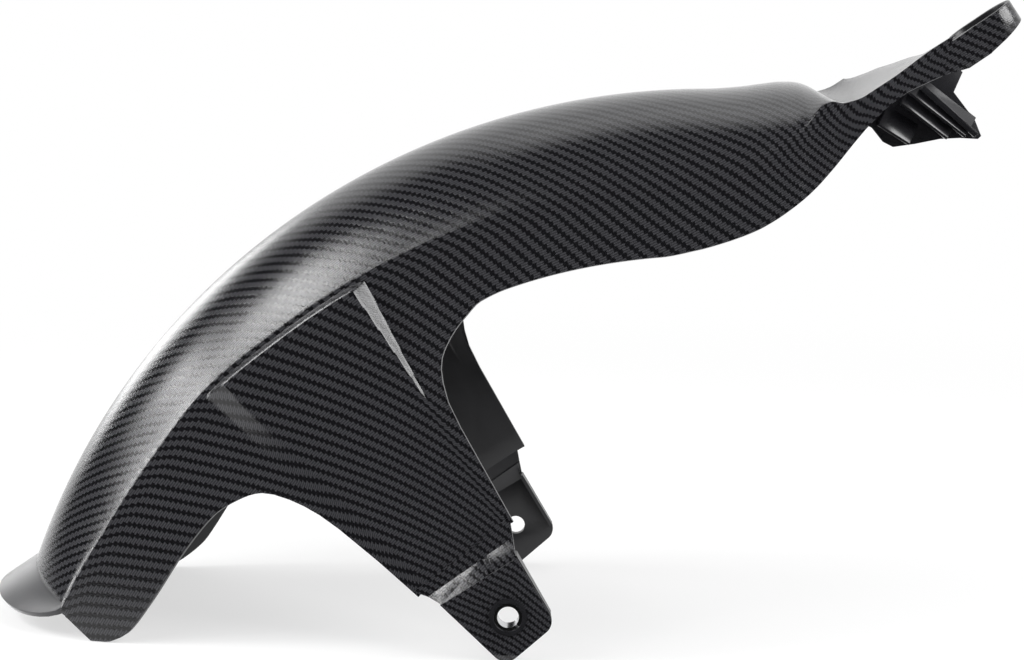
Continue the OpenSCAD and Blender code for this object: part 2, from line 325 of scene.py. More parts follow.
def place(y, r, a):
    """A point of the section at angle a, as x, y, z."""
    t = math.radians(a)
    return (AXLE_X + r * math.cos(t), y, AXLE_Z + r * math.sin(t))


def polar(x, z):
    """The angle and the radius of a point in the side view."""
    return math.degrees(math.atan2(z - AXLE_Z, x - AXLE_X)), math.hypot(x - AXLE_X, z - AXLE_Z)


# The film's own coordinates: along its bands and across them, in millimetres

def fineness(a):
    """How much finer the print is towards the arm, where the film shrank."""
    return mix(FILM_ARM_FINE, 1.0, ease_from(a, FILM_SHRINKS))


def film_integrals():
    """The film's turn by angle, and its running sums along and across, from the arm's end."""
    turn = np.radians([smooth_at(a, FILM_TURN) for a in FILM_ANGLES])
    fine = np.array([fineness(a) for a in FILM_ANGLES])
    step = FILM_R * math.radians(FILM_ANGLES[1] - FILM_ANGLES[0]) * fine
    return turn, np.cumsum(np.cos(turn) * step), np.cumsum(np.sin(turn) * step)


FILM_TURNS, FILM_ALONG, FILM_ACROSS = film_integrals()


def film(a, r, over=0.0):
    """Band coordinates of a point at angle a: on the side at radius r, then over the crown."""
    turn = np.interp(a, FILM_ANGLES, FILM_TURNS)
    crown_turn = math.radians(linear_at(a, FILM_CROWN_TURN))
    rise = (r - FILM_R) * fineness(a)
    along = -np.interp(a, FILM_ANGLES, FILM_ALONG) - rise * math.sin(turn) - over * math.sin(crown_turn)
    across = -np.interp(a, FILM_ANGLES, FILM_ACROSS) + rise * math.cos(turn)
    return along, across + over * math.sin(turn) / math.tan(crown_turn)


def unrolled(s):
    """Each section point's radius on the side and its way over the crown, with the crown laid flat."""
    steps = np.linalg.norm(np.diff(s, axis=0), axis=1)
    run = np.concatenate([[0], np.cumsum(steps)])
    crest = len(s) // 2
    ridge = crest + CROWN_STEPS
    reach = run[ridge] - run[crest]
    bend = FILM_CREST_BEND
    off = np.sqrt((run - run[crest]) ** 2 + bend ** 2) - bend
    return s[ridge][1] + np.minimum(reach - off, 0), np.maximum(reach - off, 0)


def film_by_place(mesh):
    """Film coordinates for a side part, from where each corner lies. Run before the mesh is stood."""
    layer = mesh.uv_layers.new(name="film")
    for loop in mesh.loops:
        x, _, z = mesh.vertices[loop.vertex_index].co
        layer.data[loop.index].uv = film(*polar(x, z))


# Mesh helpers

STANDING = (
    Matrix.Translation(Vector(STAND_SHIFT) * MM)
    @ Matrix.Rotation(math.radians(STAND_TURN), 4, "Y")
    @ Matrix.Scale(MM, 4)
)


def stand(mesh):
    """Millimetres about the wheel's frame to metres in the row frame."""
    mesh.transform(STANDING)
    mesh.update()


def finish_piece(name, mesh, materials):
    """An object at the origin that rides on the body, with the given materials."""
    for material in materials:
        mesh.materials.append(material)
    mesh.shade_smooth()
    mesh.set_sharp_from_angle(angle=SMOOTH_ANGLE)
    piece = linked(name, mesh)
    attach(piece, "root")
    return piece


def linked(name, data):
    obj = bpy.data.objects.new(name, data)
    bpy.context.scene.collection.objects.link(obj)
    return obj


def baked(obj):
    """The object's evaluated mesh as a plain one; the object itself is removed."""
    bpy.context.view_layer.update()
    depsgraph = bpy.context.evaluated_depsgraph_get()
    mesh = bpy.data.meshes.new_from_object(obj.evaluated_get(depsgraph), depsgraph=depsgraph)
    bpy.data.objects.remove(obj)
    return mesh


def rounded(mesh, width, angle=40):
    """The mesh with its sharp edges rounded, as a mould's are."""
    obj = linked("rounding", mesh)
    bevel = obj.modifiers.new("edge", "BEVEL")
    bevel.width = width
    bevel.segments = 2
    bevel.limit_method = "ANGLE"
    bevel.angle_limit = math.radians(angle)
    bevel.use_clamp_overlap = True
    bevel.miter_outer = "MITER_ARC"
    return baked(obj)


def merged(mesh):
    """The mesh with its doubles welded and its faces turned outwards."""
    bm = bmesh.new()
    bm.from_mesh(mesh)
    bmesh.ops.remove_doubles(bm, verts=bm.verts, dist=WELD)
    bmesh.ops.dissolve_degenerate(bm, edges=bm.edges, dist=WELD)
    bmesh.ops.recalc_face_normals(bm, faces=bm.faces)
    bm.to_mesh(mesh)
    bm.free()
    return mesh


def joined(meshes):
    """One mesh of several closed ones."""
    bm = bmesh.new()
    for mesh in meshes:
        bm.from_mesh(mesh)
    out = bpy.data.meshes.new("joined")
    bm.to_mesh(out)
    bm.free()
    return out


def hull(points):
    """The closed convex shape round some points."""
    bm = bmesh.new()
    for p in points:
        bm.verts.new(p)
    made = bmesh.ops.convex_hull(bm, input=bm.verts)
    loose = made["geom_interior"] + made["geom_unused"]
    inside = {v for v in loose if isinstance(v, bmesh.types.BMVert)}
    bmesh.ops.delete(bm, geom=list(inside), context="VERTS")
    bmesh.ops.recalc_face_normals(bm, faces=bm.faces)
    bmesh.ops.dissolve_limit(bm, angle_limit=math.radians(1), verts=bm.verts, edges=bm.edges)
    mesh = bpy.data.meshes.new("hull")
    bm.to_mesh(mesh)
    bm.free()
    return mesh


def filleted(corners, radii):
    """A closed outline with each corner turned into an arc of its own radius."""
    points = []
    n = len(corners)
    for i, (corner, radius) in enumerate(zip(corners, radii)):
        p = Vector(corner)
        before, after = Vector(corners[i - 1]), Vector(corners[(i + 1) % n])
        if radius <= 0:
            points.append(p)
            continue
        u, v = (before - p).normalized(), (after - p).normalized()
        half = u.angle(v) / 2
        centre = p + (u + v).normalized() * (radius / math.sin(half))
        start, end = p + u * (radius / math.tan(half)), p + v * (radius / math.tan(half))
        a, b = start - centre, end - centre
        turn = a.angle_signed(b)
        for k in range(ARC_STEPS + 1):
            points.append(centre + Matrix.Rotation(-turn * k / ARC_STEPS, 2) @ a)
    return points


def circle(centre, diameter):
    turns = np.linspace(0, 2 * math.pi, CIRCLE_STEPS, endpoint=False)
    return [Vector(centre) + Vector((math.cos(t), math.sin(t))) * diameter / 2 for t in turns]


def oval(start, length, width):
    """An oval round at both ends, starting at x = start."""
    points = []
    for centre, turn in ((start + length - width / 2, -90), (start + width / 2, 90)):
        for k in range(OVAL_STEPS + 1):
            t = math.radians(turn + 180 * k / OVAL_STEPS)
            points.append(Vector((centre + width / 2 * math.cos(t), width / 2 * math.sin(t))))
    return points


def plate(outlines, thickness, edge=PLATE_ROUND):
    """A closed flat plate on z from 0 to its thickness: the first outline, less the ones inside it."""
    curve = bpy.data.curves.new("plate", "CURVE")
    curve.dimensions = "2D"
    curve.fill_mode = "BOTH"
    curve.extrude = thickness / 2 - edge
    curve.bevel_depth = edge
    curve.bevel_resolution = 1
    curve.offset = -edge
    for outline in outlines:
        spline = curve.splines.new("POLY")
        spline.points.add(len(outline) - 1)
        for point, p in zip(spline.points, outline):
            point.co = (p[0], p[1], 0, 1)
        spline.use_cyclic_u = True
    mesh = baked(linked("plate", curve))
    mesh.transform(Matrix.Translation((0, 0, thickness / 2)))
    return merged(mesh)


def upright(mesh, y):
    """A plate drawn in the side view, from y inwards along +Y."""
    mesh.transform(Matrix.Translation((0, y, 0)) @ Matrix.Rotation(math.radians(90), 4, "X"))
    return mesh


def set_face_materials(mesh, index_of):
    """Each face takes the material whose number the function gives for it."""
    for face in mesh.polygons:
        face.material_index = index_of(face)


# Materials

# Twill of the print: bands stepped every tow, with two streaks to a tow. The tows lean across the
# bands. The lacquer's grain is 0.7 mm, coarser than a real mould's, so that it shows in the render
FILM_BAND_MM = 5.0
FILM_TOW_MM = 2.5
FILM_STREAK_MM = 1.25
FILM_LEAN = 0.58
FILM_GRAIN_MM = 2 / 3
FILM_FRAY_MM = 1.1
FILM_BAND_EDGE = (0.17, 0.25)
FILM_DARK, FILM_LIGHT = "#0d0d0f", "#3f3f42"

# Bare ABS: marks where the plastic flowed in the mould, and the mould's grain, drawn coarse enough
# to show
FLOW_MM = 26.3
SATIN_GRAIN_MM = 0.714
GLOSS_GRAIN_MM = 1.43
FLOW_LIGHT = "#242427"

# Steel: scratches along the bore's axis
SCRATCH_MM = (0.4, 3.33, 0.4)

MATH = "ShaderNodeMath"
NOISE = "ShaderNodeTexNoise"
MAP_RANGE = "ShaderNodeMapRange"


def linear(hex_colour):
    """An sRGB hex colour as linear RGBA."""
    parts = [int(hex_colour[i:i + 2], 16) / 255 for i in (1, 3, 5)]
    return tuple(c / 12.92 if c <= 0.04045 else ((c + 0.055) / 1.055) ** 2.4 for c in parts) + (1.0,)


def per_metre(size_mm):
    """How many cells of that size fit in a metre, which is the scale a texture takes."""
    return 1 / (size_mm * MM)


def add(tree, kind, settings=None, values=None, links=None):
    """A node with its settings, its sockets' values and what is linked into them."""
    node = tree.nodes.new(kind)
    for name, value in (settings or {}).items():
        setattr(node, name, value)
    for socket, value in (values or {}).items():
        node.inputs[socket].default_value = value
    for socket, source in (links or {}).items():
        tree.links.new(source, node.inputs[socket])
    return node


def new_material(name):
    material = bpy.data.materials.new(name)
    material.use_nodes = True
    tree = material.node_tree
    return material, tree, tree.nodes["Principled BSDF"]


def set_inputs(bsdf, values):
    for socket, value in values.items():
        bsdf.inputs[socket].default_value = value


def twill_strokes(tree, grain):
    """How light the print is: bands with sawtooth edges, drawn in slanting strokes."""
    film_place = add(tree, "ShaderNodeUVMap", {"uv_map": "film"}).outputs[0]
    split = add(tree, "ShaderNodeSeparateXYZ", links={0: film_place}).outputs
    along, across = split[0], split[1]
    slant = add(
        tree, MATH, {"operation": "MULTIPLY_ADD"}, {1: -FILM_LEAN}, {0: across, 2: along},
    ).outputs[0]
    tows = add(tree, MATH, {"operation": "MULTIPLY"}, {1: 1 / FILM_TOW_MM}, {0: slant}).outputs[0]
    tow = add(tree, MATH, {"operation": "FRACT"}, links={0: tows}).outputs[0]
    stepped = add(
        tree, MATH, {"operation": "MULTIPLY_ADD"}, {1: FILM_TOW_MM / 2}, {0: tow, 2: across},
    ).outputs[0]
    frayed = add(
        tree, MATH, {"operation": "MULTIPLY_ADD"}, {1: FILM_FRAY_MM}, {0: grain, 2: stepped},
    ).outputs[0]
    bands = add(tree, MATH, {"operation": "MULTIPLY"}, {1: 1 / FILM_BAND_MM}, {0: frayed}).outputs[0]
    wave = add(tree, MATH, {"operation": "PINGPONG"}, {1: 0.5}, {0: bands}).outputs[0]
    band = add(
        tree, MAP_RANGE, {"interpolation_type": "SMOOTHSTEP"},
        {"From Min": FILM_BAND_EDGE[0], "From Max": FILM_BAND_EDGE[1]}, {"Value": wave},
    ).outputs[0]
    streaks = add(tree, MATH, {"operation": "MULTIPLY"}, {1: 2 / FILM_STREAK_MM}, {0: slant}).outputs[0]
    streak = add(tree, MATH, {"operation": "PINGPONG"}, {1: 1.0}, {0: streaks}).outputs[0]
    stroke = add(tree, MATH, {"operation": "MULTIPLY_ADD"}, {1: 0.8, 2: 0.2}, {0: streak}).outputs[0]
    drawn = add(tree, MATH, {"operation": "MULTIPLY"}, links={0: band, 1: stroke}).outputs[0]
    inked = add(tree, MATH, {"operation": "MULTIPLY_ADD"}, {1: 0.95, 2: 0.05}, {0: drawn}).outputs[0]
    speck = add(tree, MATH, {"operation": "ADD"}, {1: 0.5}, {0: grain}).outputs[0]
    return add(tree, MATH, {"operation": "MULTIPLY"}, links={0: inked, 1: speck}).outputs[0]


def twill_print_under_clear_coat():
    """ABS with a printed twill film and a glossy lacquer: slanting bands of strokes on near black."""
    material, tree, bsdf = new_material("twill_print_clear_coat")
    coordinates = add(tree, "ShaderNodeTexCoord").outputs["Object"]
    grain = add(
        tree, NOISE, {"noise_dimensions": "3D"},
        {"Scale": per_metre(FILM_GRAIN_MM), "Detail": 2.0, "Roughness": 0.6}, {"Vector": coordinates},
    ).outputs[0]
    lit = twill_strokes(tree, grain)
    colour = add(
        tree, "ShaderNodeMix", {"data_type": "RGBA", "clamp_factor": True},
        {6: linear(FILM_DARK), 7: linear(FILM_LIGHT)}, {0: lit},
    )
    tree.links.new(colour.outputs[2], bsdf.inputs["Base Color"])
    # the lacquer follows the mould's fine spark texture, so its reflections are grainy
    relief = add(tree, MATH, {"operation": "MULTIPLY_ADD"}, {1: 0.3}, {0: lit, 2: grain}).outputs[0]
    bump = add(tree, "ShaderNodeBump", {}, {"Strength": 0.7, "Distance": 0.12 * MM}, {"Height": relief})
    tree.links.new(bump.outputs[0], bsdf.inputs["Normal"])
    tree.links.new(bump.outputs[0], bsdf.inputs["Coat Normal"])
    set_inputs(bsdf, {
        "Roughness": 0.42, "IOR": 1.5, "Specular IOR Level": 0.0,
        "Coat Weight": 1.0, "Coat Roughness": 0.07, "Coat IOR": 1.5,
    })
    return material


def moulded_abs(name, colour, roughness, grain_mm, depth_mm, haze=0.0):
    """Bare injection-moulded ABS: near black, its gloss broken by the mould's fine grain and flow
    marks. Haze is the pale bloom that a finely grained face shows at a flat angle."""
    material, tree, bsdf = new_material(name)
    coordinates = add(tree, "ShaderNodeTexCoord").outputs["Object"]
    flow = add(
        tree, NOISE, {}, {"Scale": per_metre(FLOW_MM), "Detail": 4.0, "Distortion": 1.4},
        {"Vector": coordinates},
    ).outputs[0]
    gloss = add(
        tree, MAP_RANGE, {}, {"To Min": roughness - 0.07, "To Max": roughness + 0.08}, {"Value": flow},
    )
    tree.links.new(gloss.outputs[0], bsdf.inputs["Roughness"])
    tint = add(
        tree, "ShaderNodeMix", {"data_type": "RGBA"},
        {6: linear(colour), 7: linear(FLOW_LIGHT)}, {0: flow},
    )
    tree.links.new(tint.outputs[2], bsdf.inputs["Base Color"])
    grain = add(
        tree, NOISE, {}, {"Scale": per_metre(grain_mm), "Detail": 2.0}, {"Vector": coordinates},
    ).outputs[0]
    bump = add(
        tree, "ShaderNodeBump", {}, {"Strength": 0.3, "Distance": depth_mm * MM}, {"Height": grain},
    )
    tree.links.new(bump.outputs[0], bsdf.inputs["Normal"])
    set_inputs(bsdf, {"IOR": 1.53, "Sheen Weight": haze, "Sheen Roughness": 0.35})
    return material


def rolled_steel():
    """A rolled and tumbled steel sleeve: bright, with short soft scratches."""
    material, tree, bsdf = new_material("rolled_steel")
    coordinates = add(tree, "ShaderNodeTexCoord").outputs["Object"]
    stretch = add(
        tree, "ShaderNodeMapping", {}, {"Scale": [per_metre(size) for size in SCRATCH_MM]},
        {"Vector": coordinates},
    ).outputs[0]
    marks = add(tree, NOISE, {}, {"Scale": 1.0, "Detail": 3.0}, {"Vector": stretch}).outputs[0]
    rough = add(tree, MAP_RANGE, {}, {"To Min": 0.16, "To Max": 0.3}, {"Value": marks}).outputs[0]
    tree.links.new(rough, bsdf.inputs["Roughness"])
    set_inputs(bsdf, {"Base Color": linear("#c3c4c6"), "Metallic": 1.0})
    return material


TWILL = twill_print_under_clear_coat()
SATIN = moulded_abs("moulded_abs_satin", "#101012", 0.38, SATIN_GRAIN_MM, 0.05)
GLOSS = moulded_abs("moulded_abs_gloss", "#0f0f11", 0.2, GLOSS_GRAIN_MM, 0.02)
# The lip's top: its base colour #2a2a2d, lighter than the black plastic's #101012, is painted reflection
# standing in for the pale look that reflected light gives it. Its sheen lobe is real shading from the
# lamps.
LIP_SHEEN_PAINTED_PALE = moulded_abs("moulded_abs_sheen_painted_pale", "#2a2a2d", 0.42, SATIN_GRAIN_MM, 0.03, haze=1.0)
STEEL = rolled_steel()


# The arch, skirts and legs

def station_angles():
    """Every key's own angle, a row across each facet of the panel, and even steps between."""
    fixed = {a for line in (LOW_EDGE, RIDGE_LINE, CREST_LINE) for a, _ in line}
    fixed.add(PANEL_REAR - REAR_FACET)
    for k in range(FACET_STATIONS + 1):
        fixed.add(PANEL_FRONT + FRONT_FACET * (k / FACET_STATIONS - 0.5))
    every = np.arange(ARM_END, FLAP_END, STATION_STEP)
    free = [a for a in every if min(abs(a - f) for f in fixed) > STATION_STEP / 3]
    return sorted((a for a in fixed.union(free) if ARM_END <= a <= FLAP_END), reverse=True)


def leaned_station(a):
    """One station's angles, outer points and inner points."""
    plain = section(a)
    n = len(plain)
    angles = [a + lean(a, plain[i][0], i, n) for i in range(n)]
    if a > OWN_SECTION_BELOW:
        return angles, plain, inner_points(plain)
    own = [section(angle) for angle in angles]
    ring = np.array([own[i][i] for i in range(n)])
    behind = np.array([inner_points(own[i])[i] for i in range(n)])
    return angles, ring, behind


def arch():
    """The moulding itself as one closed wall, with its outside on the film and its inside bare."""
    outer, inner, coords = [], [], []
    for a in station_angles():
        angles, ring, behind = leaned_station(a)
        sides, overs = unrolled(ring)
        outer.append([place(*p, angle) for p, angle in zip(ring, angles)])
        inner.append([place(*p, angle) for p, angle in zip(behind, angles)])
        coords.append([film(angle, side, over) for angle, side, over in zip(angles, sides, overs)])
    return wall_mesh(outer, inner, coords)


def wall_mesh(outer, inner, coords):
    """A closed wall between two grids of points. Its inside and its edges take material 1."""
    rows, n = len(outer), len(outer[0])
    vertices = [p for ring in outer + inner for p in ring]
    flat = [c for ring in coords for c in ring]

    def o(k, i):
        return k * n + i

    def q(k, i):
        return rows * n + k * n + i

    faces, bare = [], []
    for k in range(rows - 1):
        for i in range(n - 1):
            faces.append((o(k, i), o(k, i + 1), o(k + 1, i + 1), o(k + 1, i)))
            bare.append(0)
            faces.append((q(k, i), q(k + 1, i), q(k + 1, i + 1), q(k, i + 1)))
            bare.append(1)
        faces.append((o(k, 0), o(k + 1, 0), q(k + 1, 0), q(k, 0)))
        faces.append((o(k, n - 1), q(k, n - 1), q(k + 1, n - 1), o(k + 1, n - 1)))
        bare += [1, 1]
    end = rows - 1
    for i in range(n - 1):
        faces.append((o(0, i), q(0, i), q(0, i + 1), o(0, i + 1)))
        faces.append((o(end, i), o(end, i + 1), q(end, i + 1), q(end, i)))
        bare += [1, 1]
    mesh = bpy.data.meshes.new("arch")
    mesh.from_pydata(vertices, [], faces)
    mesh.polygons.foreach_set("material_index", bare)
    layer = mesh.uv_layers.new(name="film")
    for loop in mesh.loops:
        layer.data[loop.index].uv = flat[loop.vertex_index % len(flat)]
    return mesh


def make_arch():
    mesh = rounded(arch(), EDGE_ROUND, angle=28)
    stand(mesh)
    piece = finish_piece("fender_arch", mesh, [TWILL, SATIN])
    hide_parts("fender_shell")


# The lip at the closed end: a tongue as wide as the crown, rounded off towards its sides

LIP_W, LIP_SIDE_W, LIP_DROP, LIP_T = 23.0, 3.0, 35.0, 2.6
LIP_STEP, LIP_ROOT = 0.3, 2.5
LIP_SQUARE, LIP_BLUNT = 4, 0.6


def make_lip():
    crown = half_section(CLOSED_END)[:CROWN_STEPS + 1 + CREASE_ROWS // 2]
    line = [(y, r) for y, r in crown[:0:-1]] + [(-y, r) for y, r in crown]
    drop = math.radians(LIP_DROP)
    out = Vector((-math.cos(drop), 0, -math.sin(drop)))
    down = Vector((math.sin(drop), 0, -math.cos(drop)))
    vertices = []
    for y, r in line:
        top = Vector(place(y, r, CLOSED_END)) + LIP_STEP * down
        share = clamp01(1 - (y / RIDGE_Y) ** LIP_SQUARE) ** LIP_BLUNT
        far, near = mix(LIP_SIDE_W, LIP_W, share) * out, -LIP_ROOT * out
        under = top + LIP_T * down
        vertices += [tuple(top + far), tuple(under + far), tuple(under + near), tuple(top + near)]
    n = len(line)
    faces = [
        (4 * k + i, 4 * k + 4 + i, 4 * k + 4 + (i + 1) % 4, 4 * k + (i + 1) % 4)
        for k in range(n - 1) for i in range(4)
    ]
    faces += [(0, 1, 2, 3), (4 * n - 1, 4 * n - 2, 4 * n - 3, 4 * n - 4)]
    mesh = bpy.data.meshes.new("lip")
    mesh.from_pydata(vertices, [], faces)
    mesh = rounded(merged(mesh), EDGE_ROUND)
    # The lip's top takes the lighter material, whose paler colour is painted reflection. Its underside is
    # bare black satin.
    set_face_materials(mesh, lambda face: int(face.normal.dot(down) > 0.5))
    stand(mesh)
    piece = finish_piece("fender_lip", mesh, [LIP_SHEEN_PAINTED_PALE, SATIN])


# The feet: ramp, step, bolt tab, collar, boss and stiffener, in the side view's x and z

COLLAR_D, COLLAR_H = 17.6, 1.2
STEP_FROM, STEP_OUT = 0.5, 0.4
STEP_PARTS, STEP_BACKING, STEP_BACK = ((0.0, 0.3), (0.36, 1.0)), (0.02, 0.98), 0.8
FOOT_ENDS = [(LEG_FRONT + 0.3, 14.4, 46.5), (LEG_REAR - 0.3, -19.2, 25.2)]
TAB_CORNERS = [(14.6, 48), (33.4, 17.2), (10.5, -3.6), (-20, 24.8)]
TAB_ROUNDS = [0, 7, 7, 0]
STIFFENER_T, STIFFENER_ENDS = 1.4, [(13.2, 48, 9), (29.5, 21, 6)]
SLAB = (0.2, WALL - 0.1, 0.2)


def box_points(centre, size):
    return [
        (centre[0] + dx * size[0] / 2, centre[1] + dy * size[1] / 2, centre[2] + dz * size[2] / 2)
        for dx in (-1, 1) for dy in (-1, 1) for dz in (-1, 1)
    ]


def slab(upper, lower, start=0.0, stop=1.0):
    """A wall between two lines, from one share of their length to another."""
    points = []
    for share in (start, stop):
        for line in (upper, lower):
            points += box_points(line[0].lerp(line[1], share), SLAB)
    return hull(points)


def foot_lines():
    """Three lines across the foot: the panel's lower end, the knee of the step, and the tab's top."""
    tops, knees, feet = [], [], []
    for a, x, z in FOOT_ENDS:
        top = Vector(place(-panel_y(LEG_FOOT_R) + WALL / 2 + 0.05, LEG_FOOT_R + 3, a))
        low = Vector((x, -TAB_Y + TAB_T / 2, z))
        knee = top.lerp(low, STEP_FROM)
        knee.y = top.y - STEP_OUT
        tops.append(top)
        knees.append(knee)
        feet.append(low)
    return tops, knees, feet


def stiffener():
    """The thin rib behind the tab's front edge, lower towards its end."""
    return hull([
        (x + dx, -TAB_Y + 1 + dy, z + dz)
        for x, z, depth in STIFFENER_ENDS
        for dx in (0, STIFFENER_T) for dy in (0, depth) for dz in (0, 1)
    ])


def foot(bore, boss_length):
    """The right-hand foot, in millimetres, with a hole of that diameter."""
    tops, knees, feet = foot_lines()
    steps = [rounded(slab(knees, feet, *part), STEP_ROUND) for part in STEP_PARTS]
    backing = slab(knees, feet, *STEP_BACKING)
    backing.transform(Matrix.Translation((0, STEP_BACK, 0)))
    hole = circle((BOLT_X, BOLT_Z), bore)
    ring = [circle((BOLT_X, BOLT_Z), COLLAR_D), hole]
    tab = upright(plate([filleted(TAB_CORNERS, TAB_ROUNDS), hole], TAB_T), -TAB_Y + TAB_T)
    collar = upright(plate(ring, COLLAR_H + 1), -TAB_Y + 1)
    parts = [slab(tops, knees), *steps, backing, tab, collar, stiffener()]
    if boss_length:
        parts.append(upright(plate(ring, boss_length), -TAB_Y + 0.5 + boss_length))
    return joined(parts)


def make_foot(name, bore, boss_length, left):
    """The print covers the foot's outside. Its collar is bare and glossy, its back bare and satin."""
    mesh = foot(bore, boss_length)
    if left:
        mesh.transform(Matrix.Scale(-1, 4, (0, 1, 0)))
        mesh.flip_normals()
    outward = 1 if left else -1

    def finish(face):
        if abs(face.center.y) > TAB_Y + 0.05:
            return 2
        return int(face.normal.y * outward < 0.05)

    film_by_place(mesh)
    set_face_materials(mesh, finish)
    stand(mesh)
    piece = finish_piece(name, mesh, [TWILL, SATIN, GLOSS])


# The cable loop: a tall oval ring on a web that grows out of the arm

LOOP_AT, LOOP_RISE = (206.5, 285.8), 35.5
LOOP_LEN, LOOP_W, LOOP_H, LOOP_WALL = 33.0, 24.0, 14.7, 2.5
LOOP_TAPER, LOOP_TAPER_FROM = 12.5, 14.0
LOOP_EDGE = 0.6
WEB_ENDS = [(-13, -LOOP_W / 2 - 3.4, -10.2), (-3, -LOOP_W / 2 - 1, -1)]


def loop_floor(x):
    """How low the loop's tapered underside reaches at x, in its own frame."""
    return -LOOP_H + max(0.0, (x - LOOP_TAPER_FROM) * math.tan(math.radians(LOOP_TAPER)))


def loop_web():
    """The web from the arm to the near side of the ring."""
    points = [
        (x + dx, y + dy, z + dz)
        for x, y, z in WEB_ENDS for dx in (0, 1) for dy in (0, LOOP_WALL) for dz in (0, 0.8)
    ]
    points += [
        (x, -LOOP_W / 2 + dy, z)
        for x in (0, LOOP_W / 2) for dy in (0, LOOP_WALL) for z in (-LOOP_H, 0)
    ]
    return hull(points)


def make_loop():
    inside = oval(LOOP_WALL, LOOP_LEN - 2 * LOOP_WALL, LOOP_W - 2 * LOOP_WALL)
    ring = plate([oval(0, LOOP_LEN, LOOP_W), inside], LOOP_H, LOOP_EDGE)
    for v in ring.vertices:
        v.co.z = mix(loop_floor(v.co.x), 0, v.co.z / LOOP_H)
    mesh = joined([ring, loop_web()])
    centre = Vector((LOOP_LEN / 2, 0, 0))
    set_face_materials(mesh, lambda face: int((face.center - centre).xy.dot(face.normal.xy) < 0.2))
    mesh.transform(
        Matrix.Translation((LOOP_AT[0], -ARM_Y + LOOP_W / 2, LOOP_AT[1]))
        @ Matrix.Rotation(math.radians(-LOOP_RISE), 4, "Y")
    )
    film_by_place(mesh)
    stand(mesh)
    piece = finish_piece("fender_cable_loop", mesh, [TWILL, SATIN])


# The ribbed wing on the left-hand side, in the side view's x and z

WING_Y, RIB_DEPTH, RIB_FACE, RIB_UNDERCUT, FLANGE_DEPTH = 57.0, 9.0, 11.0, 1.2, 9.0
WING_OUTLINE = [
    (160, 238), (174, 246), (188.8, 239.3), (194.7, 232.3), (199.9, 229.8), (211, 231.6),
    (223.5, 234.4), (233.6, 235.1), (242.8, 234.8), (244.4, 236.4), (240.8, 244.4),
    (229.4, 258.3), (233.4, 268.5), (226.5, 274), (216, 271), (201.8, 264), (187, 254),
    (172, 256), (160, 256),
]
WING_RIBS = [((191, 242), (207, 232.4)), ((201.8, 253), (226, 235.6)), ((206, 258), (235, 236.8))]
WING_FLANGE = ((211, 259.5), (239.4, 236))
# How far a bar's root is sunk in the plate
BAR_SUNK = 0.5


def bar_tree():
    """Geometry Nodes: a closed bar along each line, its section a slanted four-sided one."""
    tree = bpy.data.node_groups.new("wing_bars", "GeometryNodeTree")
    tree.interface.new_socket("Lines", in_out="INPUT", socket_type="NodeSocketGeometry")
    for name in ("Depth", "Root width", "Edge width", "Undercut"):
        tree.interface.new_socket(name, in_out="INPUT", socket_type="NodeSocketFloat")
    tree.interface.new_socket("Material", in_out="INPUT", socket_type="NodeSocketMaterial")
    tree.interface.new_socket("Bars", in_out="OUTPUT", socket_type="NodeSocketGeometry")
    size = add(tree, "NodeGroupInput").outputs
    upwards = {
        name: add(tree, MATH, {"operation": "MULTIPLY"}, {1: -1.0}, {0: size[name]}).outputs[0]
        for name in ("Root width", "Edge width")
    }
    # the section's own x runs into the wing's hollow side, and its y runs down from the line
    corners = [
        {1: size["Undercut"]},
        {0: size["Depth"], 1: size["Undercut"]},
        {0: size["Depth"], 1: upwards["Edge width"]},
        {1: upwards["Root width"]},
    ]
    points = {
        f"Point {k + 1}": add(tree, "ShaderNodeCombineXYZ", links=corner).outputs[0]
        for k, corner in enumerate(corners)
    }
    profile = add(tree, "GeometryNodeCurvePrimitiveQuadrilateral", {"mode": "POINTS"}, links=points)
    swept = add(
        tree, "GeometryNodeCurveToMesh", {}, {"Fill Caps": True},
        {"Curve": size["Lines"], "Profile Curve": profile.outputs[0]},
    )
    real = add(tree, "GeometryNodeRealizeInstances", links={0: swept.outputs[0]}).outputs[0]
    done = add(
        tree, "GeometryNodeSetMaterial", links={"Geometry": real, "Material": size["Material"]},
    )
    add(tree, "NodeGroupOutput", links={"Bars": done.outputs[0]})
    return tree


def bars(tree, lines, sizes):
    """The bars along those lines in the side view, standing on the wing's inner face."""
    curve = bpy.data.curves.new("bars", "CURVE")
    curve.dimensions = "3D"
    curve.twist_mode = "Z_UP"
    for line in lines:
        spline = curve.splines.new("POLY")
        spline.points.add(1)
        for point, (x, z) in zip(spline.points, line):
            point.co = (x, WING_Y + BAR_SUNK, z, 1)
    obj = linked("bars", curve)
    grow = obj.modifiers.new("bars", "NODES")
    grow.node_group = tree
    inputs = {item.name: item.identifier for item in tree.interface.items_tree if item.in_out == "INPUT"}
    for name, value in sizes.items():
        grow[inputs[name]] = value
    return rounded(merged(baked(obj)), RIB_ROUND)


def make_wing():
    tree = bar_tree()
    louvre = {
        "Depth": RIB_DEPTH, "Root width": RIB_FACE, "Edge width": 0.0, "Undercut": RIB_UNDERCUT,
        "Material": GLOSS,
    }
    flange = {
        "Depth": FLANGE_DEPTH, "Root width": WALL, "Edge width": WALL, "Undercut": 0.0,
        "Material": GLOSS,
    }
    mesh = joined([
        upright(plate([WING_OUTLINE], WALL), WING_Y + WALL),
        bars(tree, WING_RIBS, louvre),
        bars(tree, [WING_FLANGE], flange),
    ])
    stand(mesh)
    piece = finish_piece("fender_ribbed_wing", mesh, [GLOSS])


make_arch()
make_lip()
make_foot("fender_foot_right", SLEEVE_OD, SLEEVE_LEN - COLLAR_H - 1.3, left=False)
make_foot("fender_foot_left", PLAIN_BORE, 0, left=True)
make_loop()
make_wing()

sleeve = frame["nodes"]["tab_sleeve"]
sleeve.data.materials.clear()
sleeve.data.materials.append(STEEL)


# Studio, in metres

